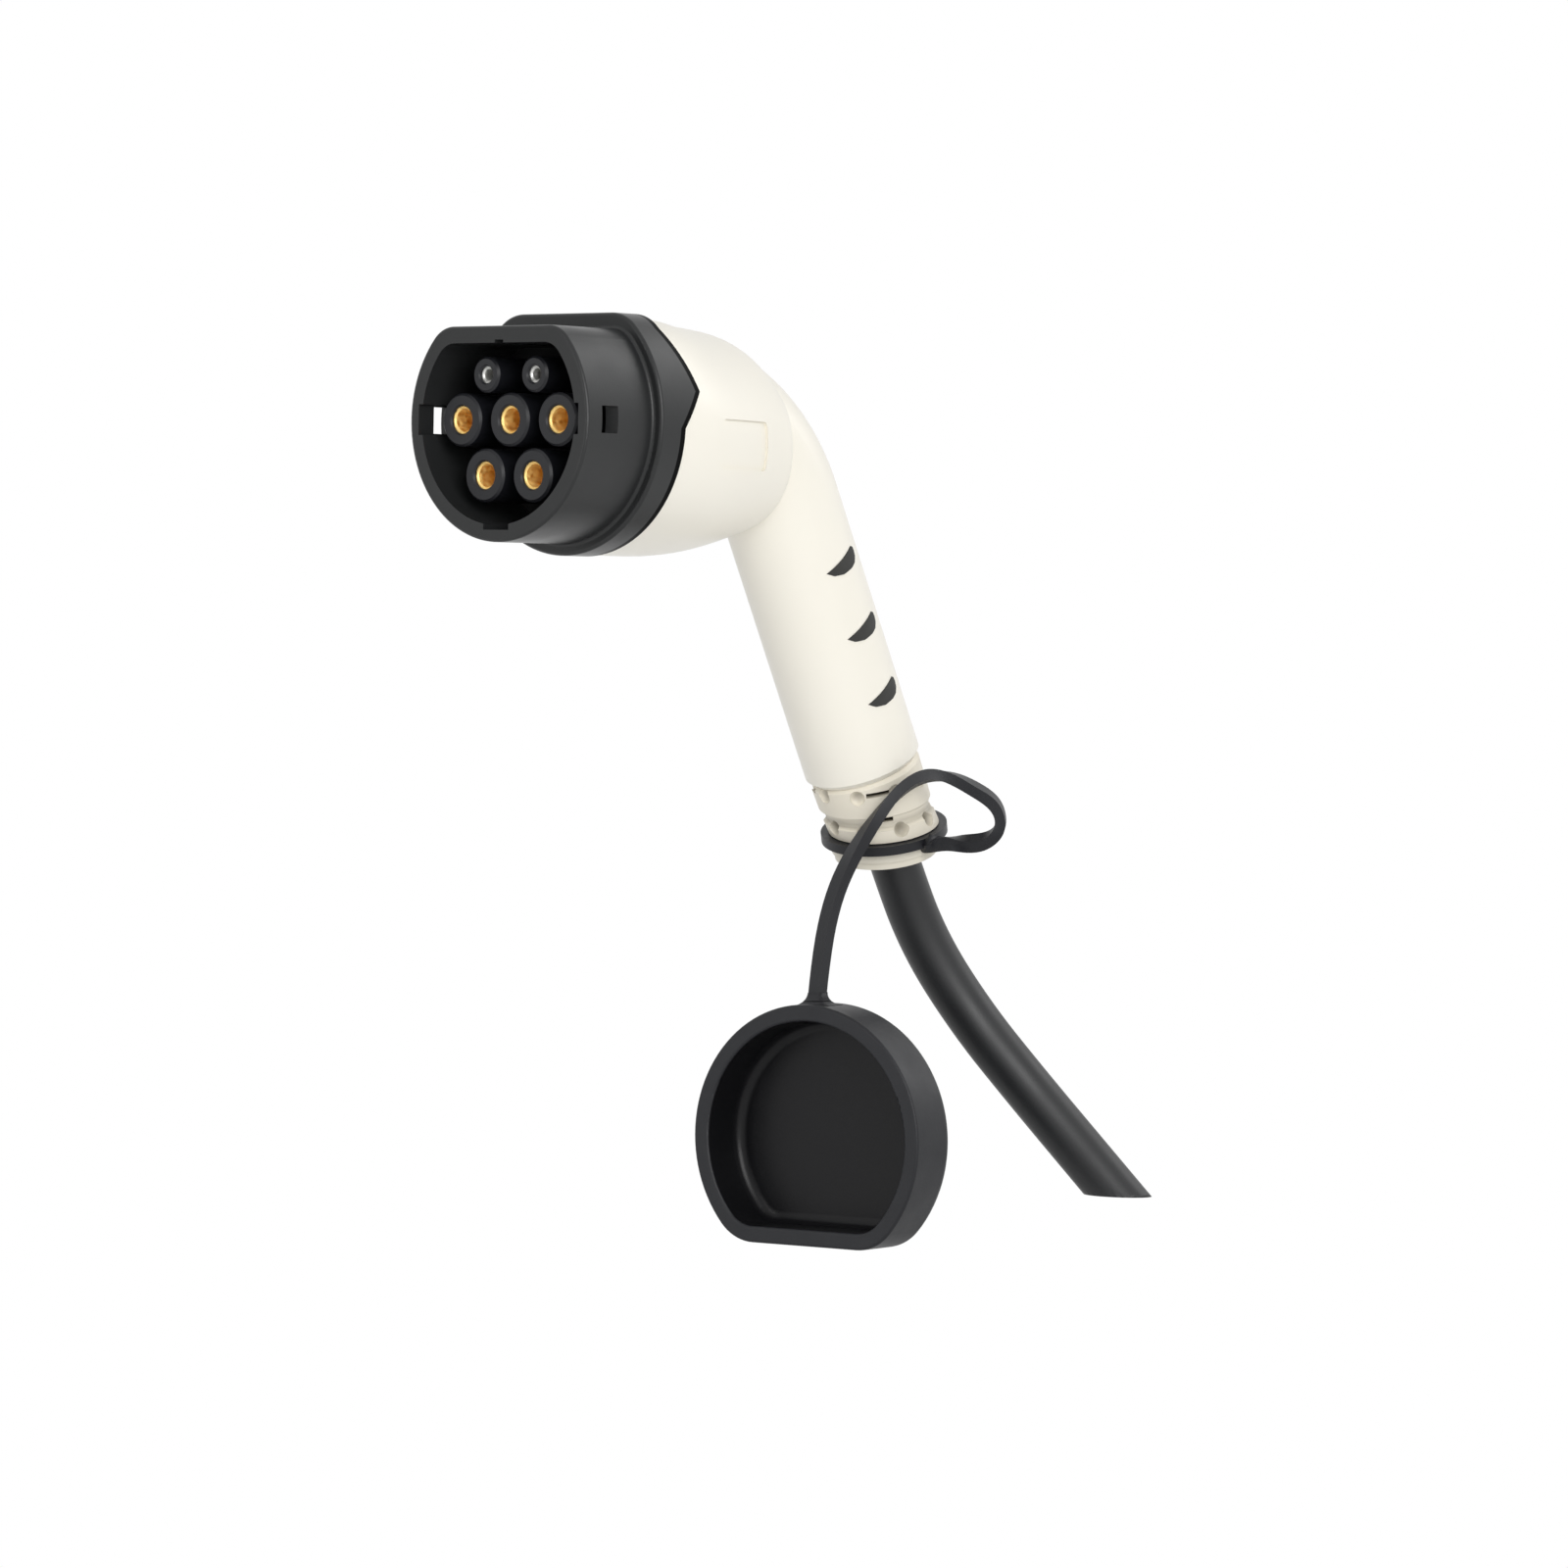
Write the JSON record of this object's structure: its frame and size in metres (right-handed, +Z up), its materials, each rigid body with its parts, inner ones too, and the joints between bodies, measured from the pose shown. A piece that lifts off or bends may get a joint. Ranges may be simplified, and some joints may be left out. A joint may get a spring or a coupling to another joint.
{
  "type": "ev charging cable",
  "caption": "Tethered charging connector for electric vehicles: dark D-shaped nose with socket contacts, pale pistol grip and neck, hanging protective cap and cable end.",
  "frame": {"origin": "centre of the mating face plane, on the axis of the middle (earth) contact", "axes": "+X back into the connector, away from the vehicle; +Z up, the flat of the nose outline on top; the plane Y = 0 is the symmetry plane of nose, head and handle"},
  "size_m": [0.2045, 0.0967, 0.2482],
  "materials": {
    "cable_jacket": "satin black jacket",
    "cap_rubber": "matte blue grey",
    "carrier_plastic": "matte black",
    "clamp_plastic": "matte black",
    "contact_brass": "turned, thin bright plating",
    "contact_silver": "turned, silver plated",
    "core_cp": "orange insulation",
    "core_l1": "brown insulation",
    "core_l2": "black insulation",
    "core_l3": "grey insulation",
    "core_n": "blue insulation",
    "core_pe": "green and yellow insulation",
    "gland_plastic": "smooth ivory, semi gloss",
    "grip_rubber": "soft matte grey",
    "housing_plastic": "smooth ivory, semi gloss",
    "neck_plastic": "smooth ivory, semi gloss",
    "nose_plastic": "satin dark grey",
    "resistor_body": "lacquered",
    "screw_steel": "zinc plated",
    "seal_rubber": "matte black",
    "sleeve_plastic": "satin dark grey"
  },
  "bodies": {
    "connector": {"cable_clamp_front": "clamp_plastic", "cable_clamp_rear": "clamp_plastic", "cable_seal": "seal_rubber", "charging_cable": "cable_jacket", "clamp_screw_left": "screw_steel", "clamp_screw_right": "screw_steel", "coding_resistor": "resistor_body", "contact_carrier": "carrier_plastic", "contact_cp": "contact_silver", "contact_l1": "contact_brass", "contact_l2": "contact_brass", "contact_l3": "contact_brass", "contact_n": "contact_brass", "contact_pe": "contact_brass", "contact_pp": "contact_silver", "contact_retainer": "carrier_plastic", "front_seal": "seal_rubber", "gland_cap": "gland_plastic", "grip_insert_lower_left": "grip_rubber", "grip_insert_lower_right": "grip_rubber", "grip_insert_middle_left": "grip_rubber", "grip_insert_middle_right": "grip_rubber", "grip_insert_upper_left": "grip_rubber", "grip_insert_upper_right": "grip_rubber", "handle_housing": "housing_plastic", "nose_shroud": "nose_plastic", "retainer_screw_left": "screw_steel", "retainer_screw_lower": "screw_steel", "retainer_screw_right": "screw_steel", "sleeve_cp": "sleeve_plastic", "sleeve_l1": "sleeve_plastic", "sleeve_l2": "sleeve_plastic", "sleeve_l3": "sleeve_plastic", "sleeve_n": "sleeve_plastic", "sleeve_pe": "sleeve_plastic", "sleeve_pp": "sleeve_plastic", "strain_relief": "neck_plastic", "wire_cp": "core_cp", "wire_l1": "core_l1", "wire_l2": "core_l2", "wire_l3": "core_l3", "wire_n": "core_n", "wire_pe": "core_pe"},
    "cap": {"protective_cap": "cap_rubber"}
  },
  "joints": [
    {"name": "cap_swivel", "type": "hinge", "parent": "connector", "child": "cap", "pos_m": [0.15632, 0, -0.10815], "axis": [-0.2964, -0.1111, 0.9486], "range_deg": [-10, 60]}
  ]
}
